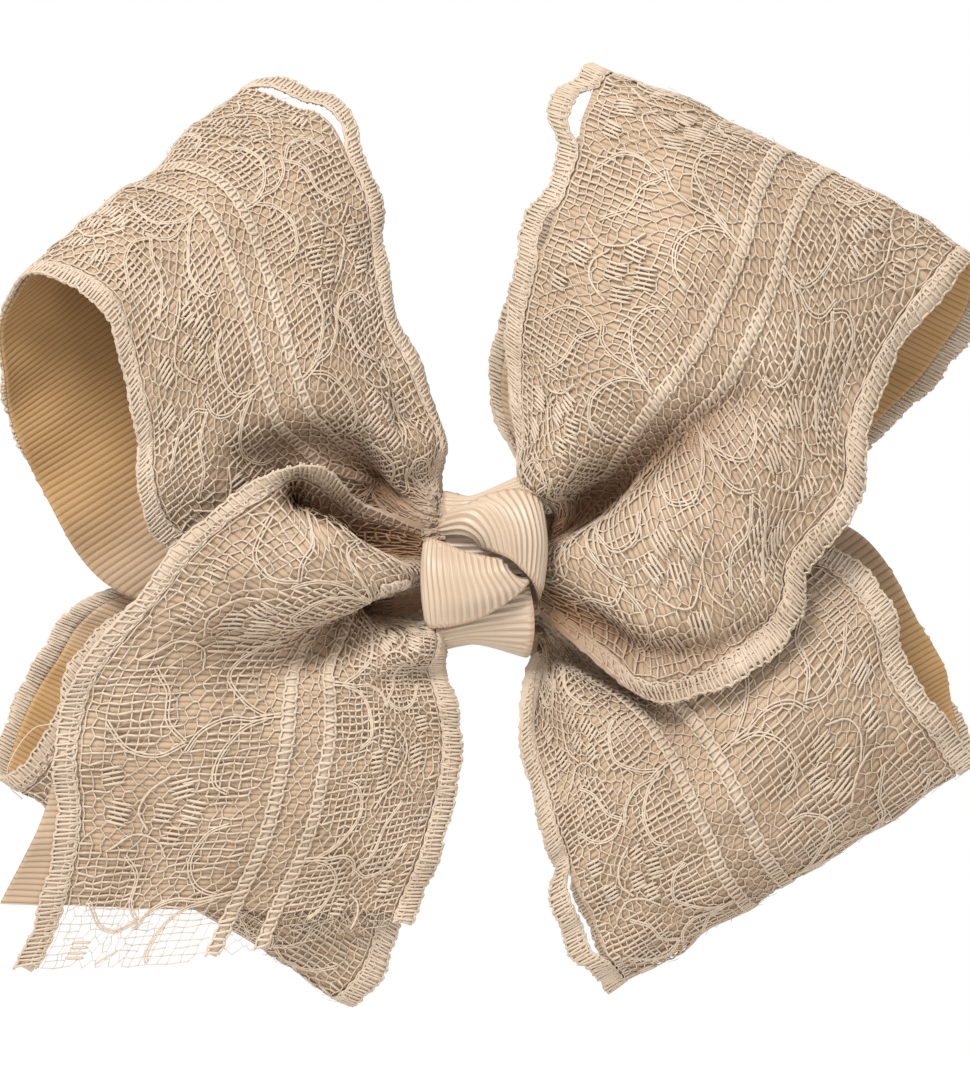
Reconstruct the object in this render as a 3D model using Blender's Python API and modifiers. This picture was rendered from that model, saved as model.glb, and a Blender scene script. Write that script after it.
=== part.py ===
"""Hair bow: four ribbon loops and a tail with lace over them, a knotted centre strip, and a sprung clip.

Frame: the origin lies between the clip's jaws, behind the middle of the knot. +Z is up as worn, +X is to the
viewer's right, and the bow faces -Y. Lengths in the tables are millimetres: (x, out, z), where out is the
distance in front of the jaws' closing plane, so y = -out.
"""

import math

import bmesh
import bpy
from mathutils import Matrix, Vector

MM = 0.001
GAP = 0.3 * MM

# Ribbon
CLOTH = 0.6 * MM                 # thickness of each soft solid
COLUMNS = 8                      # quads across a ribbon
ROWS_PER_MM = 0.22               # quads along a ribbon, for each millimetre of its middle line

# Gathered middle, thread and centre strip
PINCH_WIDTH = 12.6 * MM
PINCH_BACK, PINCH_FRONT = 4.4 * MM, 20.2 * MM
PINCH_HEIGHT = 23.0 * MM
THREAD_RADIUS = 0.35 * MM
THREAD_TURNS = 5
STRIP_WIDTH = 13.6 * MM          # 16 mm ribbon, crimped by the knot
STRIP_THICKNESS = 0.8 * MM
STRIP_CLEARANCE = 2 * THREAD_RADIUS + 2.6 * GAP
KNOT_CENTRE = Vector((0.0, -22.0, 1.0)) * MM
KNOT_SIZE = Vector((7.2, 6.5, 10.5)) * MM

# Clip, flat along X, with its jaws' tips at -X
PIVOT = Vector((13.0, 2.4, 0.0)) * MM
ARM_THICKNESS = 0.8 * MM
ARM_FACE = -0.8 * MM             # y of the bow arm's face towards the head
TIP_X, LEVER_X = -30.0 * MM, 31.0 * MM
ARM_WIDTH = 8.4 * MM
HEAD_ARM_WIDTH = 6.2 * MM
EAR_THICKNESS, EAR_REACH = 0.6 * MM, 2.6 * MM
TEETH = 6
HEAD_ARM_LINE = [(-30, 0.3), (-22, 0.3), (-12, 1.6), (0, 3.4), (9, 4.7), (17, 5.0), (31, 10.5)]   # x, y
PIN_RADIUS = 0.8 * MM
PIN_HOLE_RADIUS = 1.1 * MM
SPRING_RADIUS, SPRING_WIRE, SPRING_TURNS = 1.75 * MM, 0.3 * MM, 3
BOW_LEG = [(26, -0.15), (18, 0.3)]                 # x, y
HEAD_LEG = [(15.5, 4.2), (17.5, 4.5), (26, 7.8)]   # x, y

# Each ribbon is a sheet through three guide lines: its two selvages and its middle. A loop's lines run from
# the pinch out over the front to the fold, and back behind to the pinch. The tail's lines end at its cut.
# "puff" is how far the ribbon swells forward between its middle and each selvage.
RIBBONS = {
    "upper_left": {
        "edge_a": [(-7.8, 14.5, 9.5), (-7.8, 18, 22), (-12.5, 20, 37), (-15.5, 17, 52), (-24, 11, 66),
                   (-36, 4, 71), (-31, -1, 64), (-21, -2, 44), (-13, 2, 25), (-7.8, 8, 8)],
        "middle": [(-7.8, 15, 7), (-14, 24, 15), (-21.5, 29, 26), (-31, 30, 41), (-41, 25, 52),
                   (-50, 15, 57), (-49, 5, 49), (-39, 1, 32), (-25, 3, 14), (-7.8, 8, 4.5)],
        "edge_b": [(-7.8, 14.5, 4), (-28, 20, 0), (-45, 26, 6), (-48.5, 31, 22), (-54, 33, 37),
                   (-65, 28, 42), (-70, 18, 31), (-66, 10, 15), (-50, 6.5, -4), (-7.8, 8, 0)],
        "puff": 2.0,
    },
    "upper_right": {
        "edge_a": [(10.5, 15, 7), (4.6, 20, 22), (4, 20, 37), (8.5, 19, 53), (12.5, 17, 67),
                   (17, 12, 73), (14, 6, 67), (6, 3, 48), (1, 3, 27), (10.5, 8, 7)],
        "middle": [(7.8, 18, 4), (14.5, 22, 10), (22, 30, 25), (30, 31, 43), (38, 26, 56),
                   (44, 14, 61), (42, 5, 55), (32, 0, 38), (19, 1, 18), (7.8, 5, 3.5)],
        "edge_b": [(7.8, 18, -5), (22, 27, -16), (39, 28, -9), (51, 26, 9), (60, 22, 30),
                   (70, 13, 47), (71.5, 6, 40), (63, 2, 25), (42, 1.5, 8), (7.8, 5, 0)],
        "puff": 3.0,
    },
    "lower_right": {
        "edge_a": [(7.8, 14.5, -9.5), (6, 18, -23), (8.5, 20, -35), (11, 19, -45), (14.5, 16, -55),
                   (18.5, 11, -60.5), (17, 5, -55), (13, 3, -42), (9, 4, -26), (7.8, 8, -8)],
        "middle": [(7.8, 14, -7), (16, 16, -12), (24, 22, -20), (32, 26, -31), (40, 22, -41),
                   (45, 12, -45), (43, 4, -40), (34, 1, -28), (22, 3, -13), (7.8, 8, -4.5)],
        "edge_b": [(7.8, 13.5, -4), (28, 14, 1), (46, 18, 4), (58, 22, -7), (65, 19, -20),
                   (70.5, 12, -29), (70.5, 5, -22), (65, 3.5, -10), (49, 6, 7), (7.8, 8, -1)],
        "puff": 2.0,
    },
    "lower_left": {
        "edge_a": [(-7.8, 11, -9), (-9, 12.5, -24), (-11, 13.5, -38), (-13, 13, -49), (-15, 12, -58),
                   (-19.5, 8, -63), (-20, 3, -58), (-17, 1, -42), (-12, 2, -25), (-7.8, 5, -7)],
        "middle": [(-7.8, 11, -5), (-17, 13, -12), (-27, 15, -23), (-36, 15.5, -34), (-42, 14, -44),
                   (-45, 8, -48), (-43, 2, -43), (-34, -1, -29), (-20, 1, -14), (-7.8, 5, -3.5)],
        "edge_b": [(-7.8, 11, -1), (-28, 13, 0), (-46, 16, -5), (-57, 17, -14), (-62, 16, -25),
                   (-69, 10, -32), (-70, 4, -27), (-64, 1, -15), (-51, 1.5, -4), (-7.8, 5, 0)],
        "puff": 1.0,
    },
    "tail": {
        "edge_a": [(-7.8, 18, -6), (-8.6, 20, -8), (-8.4, 21, -11), (-7.4, 21, -16), (-6, 21, -25),
                   (-8.5, 20, -38), (-12.4, 18, -49.5)],
        "middle": [(-7.8, 18, 0), (-18, 30, 4), (-28, 31.5, -3), (-33, 24, -12), (-34, 25, -24),
                   (-37, 23, -37), (-41.5, 20, -49)],
        "edge_b": [(-7.8, 18, 5), (-24, 31, 15), (-41, 32, 6), (-56, 29, -9), (-60.5, 26, -23),
                   (-64, 22, -36), (-70.5, 17, -48.5)],
        "puff": 1.0,
    },
}

COLOURS = {
    "grosgrain": ((0.50, 0.37, 0.24, 1), 0.75, 0.0),
    "lace": ((0.66, 0.53, 0.38, 1), 0.9, 0.0),
    "strip": ((0.62, 0.49, 0.35, 1), 0.6, 0.0),
    "thread": ((0.75, 0.65, 0.50, 1), 0.8, 0.0),
    "glue": ((0.85, 0.83, 0.76, 1), 0.4, 0.0),
    "steel": ((0.62, 0.62, 0.63, 1), 0.3, 1.0),
}


def new_collection(name):
    collection = bpy.data.collections.new(name)
    bpy.context.scene.collection.children.link(collection)
    return collection


def clear_scene():
    for item in list(bpy.data.objects):
        bpy.data.objects.remove(item, do_unlink=True)


def material(node, finish):
    colour, roughness, metallic = COLOURS[finish]
    made = bpy.data.materials.new(node)
    made.use_nodes = True
    shader = made.node_tree.nodes["Principled BSDF"]
    shader.inputs["Base Color"].default_value = colour
    shader.inputs["Roughness"].default_value = roughness
    shader.inputs["Metallic"].default_value = metallic
    return made


def add_object(name, data, collection, finish):
    item = bpy.data.objects.new(name, data)
    collection.objects.link(item)
    data.materials.append(material(name, finish))
    return item


def mesh_from(work, name):
    mesh = bpy.data.meshes.new(name)
    work.to_mesh(mesh)
    work.free()
    return mesh


# --- Ribbon sheets ---------------------------------------------------------------------------------------

def spline(points, t):
    """The point at t from 0 to 1 on a Catmull-Rom curve through the points."""
    last = len(points) - 1
    place = min(max(t, 0.0), 1.0) * last
    i = min(int(place), last - 1)
    f = place - i
    p1, p2 = points[i], points[i + 1]
    p0 = points[i - 1] if i > 0 else p1 * 2 - p2
    p3 = points[i + 2] if i + 2 <= last else p2 * 2 - p1
    bend = (p1 * 3 - p0 - p2 * 3 + p3) * f ** 3 + (p0 * 2 - p1 * 5 + p2 * 4 - p3) * f ** 2
    return p1 + ((p2 - p0) * f + bend) * 0.5


def guide_lines(ribbon):
    """Five guide lines across the ribbon: the three given, and a raised one between each pair."""
    keys = ("edge_a", "middle", "edge_b")
    lines = [[Vector((x, -out, z)) * MM for x, out, z in ribbon[key]] for key in keys]
    full = []
    for left, right in zip(lines, lines[1:]):
        full.append(left)
        count = len(left)
        between = []
        for i, (a, b) in enumerate(zip(left, right)):
            swell = math.sin(math.pi * i / (count - 1))
            between.append((a + b) / 2 - Vector((0, ribbon["puff"] * MM * swell, 0)))
        full.append(between)
    return full + [lines[-1]]


def sheet_point(guides, u, v):
    """The sheet's point u along its length and v across it, both from 0 to 1."""
    return spline([spline(line, u) for line in guides], v)


def line_length(points):
    return sum((b - a).length for a, b in zip(points, points[1:]))


def add_sheet(name, ribbon, collection, finish, lift, grow):
    """A closed shell: the sheet lifted along its normals, then thickened outwards (1) or inwards (-1)."""
    guides = guide_lines(ribbon)
    rows = round(line_length(guides[2]) / MM * ROWS_PER_MM)
    work = bmesh.new()
    bmesh.ops.create_grid(work, x_segments=rows, y_segments=COLUMNS, size=0.5)
    for vert in work.verts:
        vert.co = sheet_point(guides, vert.co.x + 0.5, vert.co.y + 0.5)
    work.normal_update()
    front = min(work.verts, key=lambda vert: vert.co.y)
    if front.normal.y > 0:
        bmesh.ops.reverse_faces(work, faces=work.faces)
        work.normal_update()
    normals = [vert.normal.copy() for vert in work.verts]
    for vert, normal in zip(work.verts, normals):
        vert.co += normal * lift
    sheet = add_object(name, mesh_from(work, name), collection, finish)
    sheet.data.shade_smooth()
    thick = sheet.modifiers.new("thickness", "SOLIDIFY")
    thick.thickness = CLOTH
    thick.offset = grow
    return sheet


# --- Gathered middle, thread, centre strip and glue ------------------------------------------------------

def add_primitive(name, collection, finish):
    """Takes the primitive just made into the collection under its own name."""
    item = bpy.context.object
    for home in list(item.users_collection):
        home.objects.unlink(item)
    collection.objects.link(item)
    item.name = item.data.name = name
    item.data.materials.append(material(name, finish))
    return item


def bundle_point(angle, clearance):
    """A point (y, z) on an oval round the gathered middle; angle 0 is the front."""
    centre = -(PINCH_BACK + PINCH_FRONT) / 2
    half_depth = (PINCH_FRONT - PINCH_BACK) / 2 + clearance
    half_height = PINCH_HEIGHT / 2 + clearance
    return centre - half_depth * math.cos(angle), half_height * math.sin(angle)


def add_outline(name, loops, width, collection, finish):
    """A flat outline in the YZ plane, extruded along X; the second loop, if any, is a hole."""
    curve = bpy.data.curves.new(name, "CURVE")
    curve.dimensions = "2D"
    curve.fill_mode = "BOTH"
    curve.extrude = width / 2
    for loop in loops:
        path = curve.splines.new("POLY")
        path.points.add(len(loop) - 1)
        for point, (y, z) in zip(path.points, loop):
            point.co = (y, z, 0, 1)
        path.use_cyclic_u = True
    item = add_object(name, curve, collection, finish)
    item.matrix_world = Matrix(((0, 0, 1, 0), (1, 0, 0, 0), (0, 1, 0, 0), (0, 0, 0, 1)))
    return item


def curve_to_mesh(item):
    """Replaces a curve object by a mesh object whose caps are welded, so that Booleans can use it."""
    bpy.context.view_layer.update()
    mesh = bpy.data.meshes.new_from_object(item.evaluated_get(bpy.context.evaluated_depsgraph_get()))
    work = bmesh.new()
    work.from_mesh(mesh)
    bmesh.ops.remove_doubles(work, verts=work.verts, dist=1e-6)
    work.to_mesh(mesh)
    work.free()
    solid = bpy.data.objects.new(item.name, mesh)
    solid.matrix_world = item.matrix_world
    for home in item.users_collection:
        home.objects.link(solid)
    name = item.name
    bpy.data.objects.remove(item, do_unlink=True)
    solid.name = mesh.name = name
    return solid


def combine(target, tool, operation, cutters):
    """Adds tool to target, or cuts it away, and keeps tool as a hidden cutter."""
    for home in list(tool.users_collection):
        home.objects.unlink(tool)
    cutters.objects.link(tool)
    tool.hide_render = True
    tool.display_type = "WIRE"
    change = target.modifiers.new(tool.name, "BOOLEAN")
    change.operation = operation
    change.object = tool
    change.solver = "EXACT"


def add_pinch(collection):
    """The passes of ribbon gathered into one bundle that lies along X."""
    loop = [bundle_point(2 * math.pi * i / 28, 0) for i in range(28)]
    return add_outline("gathered_middle", [loop], PINCH_WIDTH, collection, "grosgrain")


def add_thread(collection):
    """Thread wound side by side round the gathered middle."""
    curve = bpy.data.curves.new("gathering_thread", "CURVE")
    curve.dimensions = "3D"
    curve.bevel_depth = THREAD_RADIUS
    curve.bevel_resolution = 1
    curve.use_fill_caps = True
    path = curve.splines.new("POLY")
    per_turn = 20
    steps = THREAD_TURNS * per_turn
    path.points.add(steps)
    pitch = 2 * THREAD_RADIUS + GAP
    for i, point in enumerate(path.points):
        y, z = bundle_point(2 * math.pi * i / per_turn + math.pi, THREAD_RADIUS + 1.4 * GAP)
        point.co = ((i - steps / 2) / per_turn * pitch, y, z, 1)
    return add_object("gathering_thread", curve, collection, "thread")


def strip_loop(clearance):
    """The way the centre strip takes round the bundle and behind the clip's bow arm, as (y, z) points."""
    last = math.radians(120)
    steps = 20
    front = [bundle_point(-last + 2 * last * i / steps, clearance) for i in range(steps + 1)]
    inset = clearance - STRIP_CLEARANCE
    corner_y, corner_z = ARM_FACE + GAP + inset, ARM_WIDTH / 2 + 1.5 * GAP + inset
    return front + [(corner_y, corner_z), (corner_y, -corner_z)]


def add_knot_strip(collection, cutters):
    """The narrow strip round the middle, with the lump of its overhand knot in front."""
    loops = [strip_loop(STRIP_CLEARANCE + STRIP_THICKNESS), strip_loop(STRIP_CLEARANCE)]
    band = curve_to_mesh(add_outline("knot_strip", loops, STRIP_WIDTH, collection, "strip"))
    bpy.ops.mesh.primitive_uv_sphere_add(segments=24, ring_count=14, radius=1)
    lump = add_primitive("knot_lump", cutters, "strip")
    lump.data.transform(Matrix.Translation(KNOT_CENTRE) @ Matrix.Diagonal((*KNOT_SIZE, 1)))
    inside = strip_loop(STRIP_CLEARANCE)
    hollow = add_outline("knot_hollow", [inside], STRIP_WIDTH + 4 * MM, cutters, "strip")
    combine(band, lump, "UNION", cutters)
    combine(band, curve_to_mesh(hollow), "DIFFERENCE", cutters)
    return band


def add_box(name, low, high, collection, finish, bevel=0.0):
    low, high = Vector(low), Vector(high)
    bpy.ops.mesh.primitive_cube_add(size=1)
    box = add_primitive(name, collection, finish)
    box.data.transform(Matrix.Translation((low + high) / 2) @ Matrix.Diagonal((*(high - low), 1)))
    if bevel:
        rounding = box.modifiers.new("rounding", "BEVEL")
        rounding.width = bevel
        rounding.segments = 2
    return box


def add_glue(collection):
    """The hot glue that holds the bundle on the clip's bow arm."""
    arm_front = ARM_FACE - ARM_THICKNESS
    low = (-6.2 * MM, -PINCH_BACK + 2 * THREAD_RADIUS + 2.4 * GAP, -3.2 * MM)
    high = (6.2 * MM, arm_front - GAP, 3.2 * MM)
    return add_box("glue_pad", low, high, collection, "glue", 0.4 * MM)


# --- Clip ------------------------------------------------------------------------------------------------

def pin_hole(name, cutters):
    bpy.ops.mesh.primitive_cylinder_add(vertices=24, radius=PIN_HOLE_RADIUS, depth=2 * ARM_WIDTH)
    hole = add_primitive(name, cutters, "steel")
    hole.data.transform(Matrix.Translation(PIVOT))
    return hole


def add_bow_arm(collection, cutters):
    """The flat arm that the bow is glued on, with two ears bent towards the head for the pin."""
    curve = bpy.data.curves.new("clip_bow_arm", "CURVE")
    curve.dimensions = "2D"
    curve.fill_mode = "BOTH"
    curve.extrude = ARM_THICKNESS / 2
    half, nose = ARM_WIDTH / 2, ARM_WIDTH * 0.33
    tip = [(TIP_X + nose - nose * math.cos(a), nose * math.sin(a)) for a in arc(-90, 90, 8)]
    end = [(LEVER_X - half + half * math.cos(a), half * math.sin(a)) for a in arc(90, -90, 10)]
    shoulder = TIP_X + 22 * MM
    outline = tip + [(shoulder, half)] + end + [(shoulder, -half)]
    path = curve.splines.new("POLY")
    path.points.add(len(outline) - 1)
    for point, (x, z) in zip(path.points, outline):
        point.co = (x, z, 0, 1)
    path.use_cyclic_u = True
    plate = add_object("clip_bow_arm", curve, collection, "steel")
    turn = Matrix(((1, 0, 0, 0), (0, 0, -1, 0), (0, 1, 0, 0), (0, 0, 0, 1)))
    plate.matrix_world = Matrix.Translation((0, ARM_FACE - ARM_THICKNESS / 2, 0)) @ turn
    plate = curve_to_mesh(plate)
    for side in (-1, 1):
        z0, z1 = sorted((side * (half - EAR_THICKNESS), side * half))
        low = (PIVOT.x - EAR_REACH, ARM_FACE - ARM_THICKNESS / 2, z0)
        high = (PIVOT.x + EAR_REACH, PIVOT.y + 1.9 * MM, z1)
        combine(plate, add_box(f"bow_ear_{side}", low, high, cutters, "steel"), "UNION", cutters)
    combine(plate, pin_hole("bow_arm_pin_hole", cutters), "DIFFERENCE", cutters)
    return plate


def arc(first, last, steps):
    """Angles in radians from first to last degrees."""
    return [math.radians(first + (last - first) * i / steps) for i in range(steps + 1)]


def add_head_arm(collection, cutters):
    """The toothed arm on the head's side: a bent strip whose rear end is the thumb lever."""
    work = bmesh.new()
    path = [Vector((x, y, 0)) * MM for x, y in HEAD_ARM_LINE]
    steps = 26
    half = HEAD_ARM_WIDTH / 2
    rows = []
    for i in range(steps + 1):
        place = spline(path, i / steps)
        taper = 0.72 + 0.28 * min(1, i / steps * 2.6)
        rounding = min(1, 0.55 + 0.3 * min(i, steps - i))
        rows.append([work.verts.new((place.x, place.y, side * half * taper * rounding)) for side in (-1, 1)])
    for (a, b), (c, d) in zip(rows, rows[1:]):
        work.faces.new((a, b, d, c))
    blade = add_object("clip_head_arm", mesh_from(work, "clip_head_arm"), collection, "steel")
    thick = blade.modifiers.new("thickness", "SOLIDIFY")
    thick.thickness = ARM_THICKNESS
    thick.offset = 1
    for i in range(TEETH):
        bpy.ops.mesh.primitive_cylinder_add(vertices=3, radius=0.8 * MM, depth=4 * MM)
        tooth = add_primitive(f"tooth_{i}", cutters, "steel")
        place = (TIP_X + (1.8 + 1.5 * i) * MM, 0.32 * MM, 0)
        tooth.data.transform(Matrix.Translation(place) @ Matrix.Rotation(math.pi, 4, "Z"))
        combine(blade, tooth, "UNION", cutters)
    for side in (-1, 1):
        z0, z1 = sorted((side * (half - EAR_THICKNESS), side * half))
        low = (PIVOT.x - EAR_REACH + 0.4 * MM, PIVOT.y - 1.7 * MM, z0)
        high = (PIVOT.x + EAR_REACH - 0.4 * MM, PIVOT.y + 2.9 * MM, z1)
        combine(blade, add_box(f"head_ear_{side}", low, high, cutters, "steel"), "UNION", cutters)
    combine(blade, pin_hole("head_arm_pin_hole", cutters), "DIFFERENCE", cutters)
    return blade


def add_pin(collection):
    """The riveted pin, a turned profile on the pivot's axis."""
    reach = ARM_WIDTH / 2 + GAP
    head = 0.5 * MM
    side = [(0, reach + head), (1.5 * MM, reach + head), (1.5 * MM, reach), (PIN_RADIUS, reach)]
    profile = side + [(r, -z) for r, z in reversed(side)]
    work = bmesh.new()
    verts = [work.verts.new((r, 0, z)) for r, z in profile]
    for a, b in zip(verts, verts[1:]):
        work.edges.new((a, b))
    pin = add_object("clip_pin", mesh_from(work, "clip_pin"), collection, "steel")
    turn = pin.modifiers.new("turn", "SCREW")
    turn.steps = turn.render_steps = 24
    turn.use_merge_vertices = True
    turn.merge_threshold = 0.00001
    pin.location = PIVOT
    return pin


def add_spring(collection):
    """A torsion spring on the pin; one leg lies along each lever."""
    rise = 2 * SPRING_WIRE + 0.05 * MM
    turns = SPRING_TURNS + 0.5
    steps = int(turns * 14)
    coil = []
    for i in range(steps + 1):
        angle = -math.pi / 2 - 2 * math.pi * turns * i / steps
        z = rise * turns * (i / steps - 0.5)
        coil.append(PIVOT + Vector((SPRING_RADIUS * math.cos(angle), SPRING_RADIUS * math.sin(angle), z)))
    bow_leg = [Vector((x * MM, y * MM, coil[0].z)) for x, y in BOW_LEG]
    head_leg = [Vector((x * MM, y * MM, coil[-1].z)) for x, y in HEAD_LEG]
    curve = bpy.data.curves.new("clip_spring", "CURVE")
    curve.dimensions = "3D"
    curve.bevel_depth = SPRING_WIRE
    curve.bevel_resolution = 2
    curve.use_fill_caps = True
    points = bow_leg + coil + head_leg
    path = curve.splines.new("POLY")
    path.points.add(len(points) - 1)
    for point, place in zip(path.points, points):
        point.co = (*place, 1)
    return add_object("clip_spring", curve, collection, "steel")


def build():
    clear_scene()
    parts = new_collection("hair_bow")
    cutters = new_collection("cutters")
    for side, ribbon in RIBBONS.items():
        add_sheet(f"ribbon_{side}", ribbon, parts, "grosgrain", 0.0, -1)
        add_sheet(f"lace_{side}", ribbon, parts, "lace", GAP, 1)
    add_pinch(parts)
    add_thread(parts)
    add_knot_strip(parts, cutters)
    add_glue(parts)
    add_bow_arm(parts, cutters)
    add_head_arm(parts, cutters)
    add_pin(parts)
    add_spring(parts)


build()
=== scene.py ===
"""Looks of the hair bow: ribbed ribbon, thread-by-thread lace, tied centre strip, and a bright steel clip.

Every length is in millimetres until a mesh is made. Flat ribbon coordinates are (a, t): a runs along the
ribbon from the pinch, t runs across it from its middle, and lift is the height over the ribbon's outer face.
"""

import math

import bpy
import numpy as np
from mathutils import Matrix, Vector


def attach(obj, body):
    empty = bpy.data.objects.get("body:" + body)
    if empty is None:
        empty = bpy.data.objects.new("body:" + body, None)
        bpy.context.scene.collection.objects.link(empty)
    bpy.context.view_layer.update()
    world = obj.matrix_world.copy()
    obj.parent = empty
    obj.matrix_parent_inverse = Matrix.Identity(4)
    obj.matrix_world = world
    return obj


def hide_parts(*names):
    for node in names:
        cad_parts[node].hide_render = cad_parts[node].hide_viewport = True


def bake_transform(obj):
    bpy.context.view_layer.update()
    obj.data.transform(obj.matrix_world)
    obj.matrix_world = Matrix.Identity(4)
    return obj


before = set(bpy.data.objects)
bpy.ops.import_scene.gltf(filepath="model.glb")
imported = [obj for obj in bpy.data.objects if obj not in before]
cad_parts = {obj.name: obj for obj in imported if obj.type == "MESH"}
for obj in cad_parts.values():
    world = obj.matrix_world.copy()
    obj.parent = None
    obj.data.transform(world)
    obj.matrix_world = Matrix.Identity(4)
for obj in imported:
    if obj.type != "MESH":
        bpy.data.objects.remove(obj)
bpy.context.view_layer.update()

MM = 0.001
RIBBON_WIDTH = 57.0
LACE_WIDTH = 61.5
CLOTH = 0.42                # thickness of the grosgrain
RIB_PITCH, RIB_HEIGHT = 0.95, 0.13
GRID_REACH = 34.0           # the sheets are known this far from their middle line
GRID_STEP = 0.3
UNDER = 3.4                 # how far the ribbons run on under the knot strip
TAIL_RUN_ON = 1.2           # the tail's sheet is known past the ribbon's cut, where only lace runs on
SIDES = 4                   # sides of every thread and wire

# Guide lines along each ribbon's edges and middle, from pinch to pinch, as (x, out, z) with y = -out. They
# follow the CAD ribbons, apart from the upper left loop's pinch and the upper right loop's back edges. The
# cloth between them stands out by up to puff.
RIBBONS = {
    "upper_left": {
        "edge_a": [(-6.8, 16.5, 9.9), (-7.8, 18, 22), (-12.5, 20, 37), (-15.5, 17, 52), (-24, 11, 66),
                   (-36, 4, 71), (-31, -1, 64), (-21, -2, 44), (-13, 2, 25), (-7.8, 8, 8)],
        "middle": [(-6.8, 18, 7.5), (-14, 24, 15), (-21.5, 29, 26), (-31, 30, 41), (-41, 25, 52),
                   (-50, 15, 57), (-49, 5, 49), (-39, 1, 32), (-25, 3, 14), (-7.8, 8, 4.5)],
        "edge_b": [(-7.2, 18, 4.6), (-28, 20, 0), (-45, 26, 6), (-48.5, 31, 22), (-54, 33, 37),
                   (-65, 28, 42), (-70, 18, 31), (-66, 10, 15), (-50, 6.5, -4), (-7.8, 8, 0)],
        "puff": 2.0,
    },
    "upper_right": {
        "edge_a": [(10.5, 15, 7), (4.6, 20, 22), (4, 20, 37), (8.5, 19, 53), (12.5, 17, 67),
                   (17, 12, 73), (16, 6, 67), (9, 3, 48), (2, 3, 27), (10.5, 8, 7)],
        "middle": [(7.8, 18, 4), (14.5, 22, 10), (22, 30, 25), (30, 31, 43), (38, 26, 56),
                   (44, 14, 61), (42, 5, 55), (32, 0, 38), (19, 1, 18), (7.8, 5, 3.5)],
        "edge_b": [(7.8, 18, -5), (22, 27, -16), (39, 28, -9), (51, 26, 9), (60, 22, 30),
                   (70, 13, 47), (72, 6, 39.5), (60.5, 2, 24.5), (41, 1.5, 8), (7.8, 5, 0)],
        "puff": 3.0,
    },
    "lower_right": {
        "edge_a": [(7.8, 14.5, -9.5), (6, 18, -23), (8.5, 20, -35), (11, 19, -45), (14.5, 16, -55),
                   (18.5, 11, -60.5), (17, 5, -55), (13, 3, -42), (9, 4, -26), (7.8, 8, -8)],
        "middle": [(7.8, 14, -7), (16, 16, -12), (24, 22, -20), (32, 26, -31), (40, 22, -41),
                   (45, 12, -45), (43, 4, -40), (34, 1, -28), (22, 3, -13), (7.8, 8, -4.5)],
        "edge_b": [(7.8, 13.5, -4), (28, 14, 1), (46, 18, 4), (58, 22, -7), (65, 19, -20),
                   (70.5, 12, -29), (70.5, 5, -22), (65, 3.5, -10), (49, 6, 7), (7.8, 8, -1)],
        "puff": 2.0,
    },
    "lower_left": {
        "edge_a": [(-7.8, 11, -9), (-9, 12.5, -24), (-11, 13.5, -38), (-13, 13, -49), (-15, 12, -58),
                   (-19.5, 8, -63), (-20, 3, -58), (-17, 1, -42), (-12, 2, -25), (-7.8, 5, -7)],
        "middle": [(-7.8, 11, -5), (-17, 13, -12), (-27, 15, -23), (-36, 15.5, -34), (-42, 14, -44),
                   (-45, 8, -48), (-43, 2, -43), (-34, -1, -29), (-20, 1, -14), (-7.8, 5, -3.5)],
        "edge_b": [(-7.8, 11, -1), (-28, 13, 0), (-46, 16, -5), (-57, 17, -14), (-62, 16, -25),
                   (-69, 10, -32), (-70, 4, -27), (-64, 1, -15), (-51, 1.5, -4), (-7.8, 5, 0)],
        "puff": 1.0,
    },
    "tail": {
        "edge_a": [(-7.8, 18, -6), (-8.6, 20, -8), (-8.4, 21, -11), (-7.4, 21, -16), (-6, 21, -25),
                   (-8.5, 20, -38), (-12.4, 18, -49.5)],
        "middle": [(-7.8, 18, 0), (-18, 30, 4), (-28, 31.5, -3), (-33, 24, -12), (-34, 25, -24),
                   (-37, 23, -37), (-41.5, 20, -49)],
        "edge_b": [(-7.8, 18, 5), (-24, 31, 15), (-41, 32, 6), (-56, 29, -9), (-60.5, 26, -23),
                   (-64, 22, -36), (-70.5, 17, -48.5)],
        "puff": 1.0,
    },
}

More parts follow.
